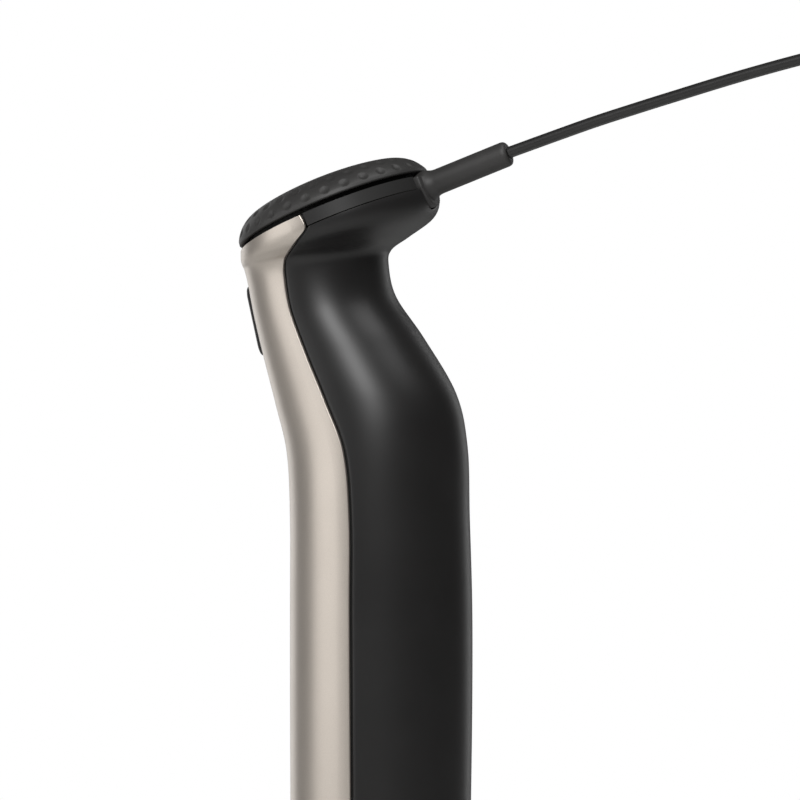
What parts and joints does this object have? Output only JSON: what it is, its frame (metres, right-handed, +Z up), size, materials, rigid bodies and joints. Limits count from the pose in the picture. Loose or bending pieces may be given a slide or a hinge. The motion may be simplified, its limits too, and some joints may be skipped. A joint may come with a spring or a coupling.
{
  "type": "immersion blender",
  "caption": "Corded stick blender: slanted dial on a two-tone motor body, front trigger, pull-off steel leg with bell and S-blade.",
  "frame": {"origin": "on the floor under the bell's rim, on the common axis of the motor and the leg", "axes": "+Z up along the motor's axis; -X is the front with the silver shell and the trigger; +X is the back, where the cord leaves; -Y is the left side"},
  "size_m": [0.2388, 0.0796, 0.4573],
  "materials": {
    "champagne_metal": "satin champagne silver",
    "soft_black": "soft-touch matte",
    "hard_black": "fine-grained satin",
    "black_rubber": "matte",
    "brushed_steel": "brushed",
    "core_steel": "stamped laminations",
    "copper": "enamelled copper",
    "brass": "satin",
    "carbon": "matte carbon",
    "grey_plastic": "moulded",
    "board_green": "solder mask",
    "dark_component": "moulded",
    "cord_pvc": "satin PVC"
  },
  "bodies": {
    "housing": {"front_housing": "champagne_metal", "rear_housing": "soft_black", "top_collar": "hard_black", "lower_collar": "hard_black", "strain_relief": "black_rubber", "motor_stator": "core_steel", "field_coil_front": "copper", "field_coil_back": "copper", "lower_motor_mount": "grey_plastic", "upper_motor_mount": "grey_plastic", "lower_bearing": "brass", "upper_bearing": "brass", "motor_bolt_left": "brushed_steel", "motor_bolt_right": "brushed_steel", "brush_holder_left": "brass", "brush_holder_right": "brass", "carbon_brush_left": "carbon", "carbon_brush_right": "carbon", "neck_frame": "grey_plastic", "control_board": "board_green", "heat_sink": "brushed_steel", "capacitor": "dark_component", "micro_switch": "dark_component", "potentiometer": "dark_component", "cord_clamp": "hard_black", "trigger_pin": "brushed_steel", "trigger_spring": "brushed_steel", "release_pin_left": "brushed_steel", "release_pin_right": "brushed_steel", "cord_lead": "cord_pvc", "cord_coil": "cord_pvc", "coil_tie": "black_rubber", "plug_body": "black_rubber", "plug_blade_left": "brass", "plug_blade_right": "brass"},
    "rotor": {"motor_shaft": "brushed_steel", "armature": "core_steel", "commutator": "copper", "cooling_fan": "grey_plastic", "drive_coupling": "grey_plastic"},
    "dial": {"speed_dial": "black_rubber", "dial_spindle": "brushed_steel"},
    "trigger": {"trigger": "hard_black"},
    "plunger": {"switch_plunger": "grey_plastic"},
    "release_left": {"release_button_left": "hard_black"},
    "release_right": {"release_button_right": "hard_black"},
    "leg": {"leg_collar": "hard_black", "shaft_tube": "brushed_steel", "bell": "brushed_steel", "rim_guard": "black_rubber", "upper_bushing": "brass", "lower_bushing": "brass", "shaft_seal": "black_rubber"},
    "blade": {"drive_shaft": "brushed_steel", "driven_coupling": "grey_plastic", "blade": "brushed_steel", "blade_hub": "brushed_steel", "blade_nut": "brushed_steel"}
  },
  "joints": [
    {"name": "motor_spin", "type": "hinge", "parent": "housing", "child": "rotor", "pos_m": [0, 0, 0.24], "axis": [0, 0, 1], "continuous": true},
    {"name": "dial_turn", "type": "hinge", "parent": "housing", "child": "dial", "pos_m": [-0.0149, 0, 0.4089], "axis": [-0.3843, 0, 0.9232], "range_deg": [0, 270]},
    {"name": "trigger_press", "type": "hinge", "parent": "housing", "child": "trigger", "pos_m": [-0.03272, 0, 0.38558], "axis": [0, -1, 0], "range_deg": [0, 5], "stiffness_Nm_per_rad": 0.4, "springref_deg": -4.58, "deforming": ["trigger_spring"]},
    {"name": "switch_press", "type": "slide", "parent": "housing", "child": "plunger", "axis": [0.9744, 0, 0.225], "range_m": [0, 0.0013]},
    {"name": "release_left_press", "type": "hinge", "parent": "housing", "child": "release_left", "pos_m": [0, -0.0213, 0.211], "axis": [-1, 0, 0], "range_deg": [0, 7], "stiffness_Nm_per_rad": 0.4, "springref_deg": -3.44},
    {"name": "release_right_press", "type": "hinge", "parent": "housing", "child": "release_right", "pos_m": [0, 0.0213, 0.211], "axis": [1, 0, 0], "range_deg": [0, 7], "stiffness_Nm_per_rad": 0.4, "springref_deg": -3.44},
    {"name": "leg_pull", "type": "slide", "parent": "housing", "child": "leg", "axis": [0, 0, -1], "range_m": [0, 0.045]},
    {"name": "blade_spin", "type": "hinge", "parent": "leg", "child": "blade", "pos_m": [0, 0, 0.1], "axis": [0, 0, 1], "continuous": true}
  ],
  "couplings": [
    {"joint": "switch_press", "follows": "trigger_press", "m_per_rad": 0.0145},
    {"joint": "blade_spin", "follows": "motor_spin", "ratio": 1}
  ]
}
